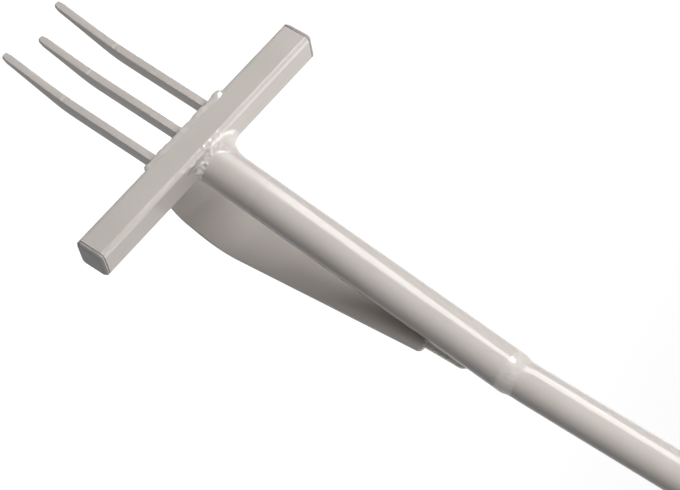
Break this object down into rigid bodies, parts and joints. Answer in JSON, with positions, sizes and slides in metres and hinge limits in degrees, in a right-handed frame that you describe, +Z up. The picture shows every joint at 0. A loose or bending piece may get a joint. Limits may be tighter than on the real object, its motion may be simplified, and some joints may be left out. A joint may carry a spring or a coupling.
{
  "type": "ragwort fork",
  "caption": "Hand tool that levers weeds out by the root: steel tines under a foot bar, a heel plate behind it as the fulcrum, a cranked tube shaft and a T handle.",
  "frame": {"origin": "on the ground plane under the middle of the bounding box, with the outer tines' tips at z = 0", "axes": "+Z up along the upper shaft, +X to the right along the foot bar as seen from the front, and the front, the side that the tines curve towards, is -Y"},
  "size_m": [0.268, 0.1248, 1.0226],
  "materials": {
    "coated_steel": "satin",
    "coated_weld": "gloss",
    "cap_plastic": "matte",
    "grip_rubber": "matte",
    "plug_plastic": "matte"
  },
  "bodies": {
    "root": {"foot_bar": "coated_steel", "foot_bar_cap_left": "cap_plastic", "foot_bar_cap_right": "cap_plastic", "tine_left": "coated_steel", "tine_middle": "coated_steel", "tine_right": "coated_steel", "tine_weld_front": "coated_weld", "tine_weld_back": "coated_weld", "shaft_lower": "coated_steel", "shaft_foot_weld": "coated_weld", "shaft_upper": "coated_steel", "shaft_joint_weld": "coated_weld", "heel_plate": "coated_steel", "heel_foot_weld": "coated_weld", "heel_tongue_weld": "coated_weld", "handle_bar": "coated_steel", "handle_weld": "coated_weld", "grip_left": "grip_rubber", "grip_right": "grip_rubber", "handle_plug_left": "plug_plastic", "handle_plug_right": "plug_plastic"}
  },
  "joints": []
}
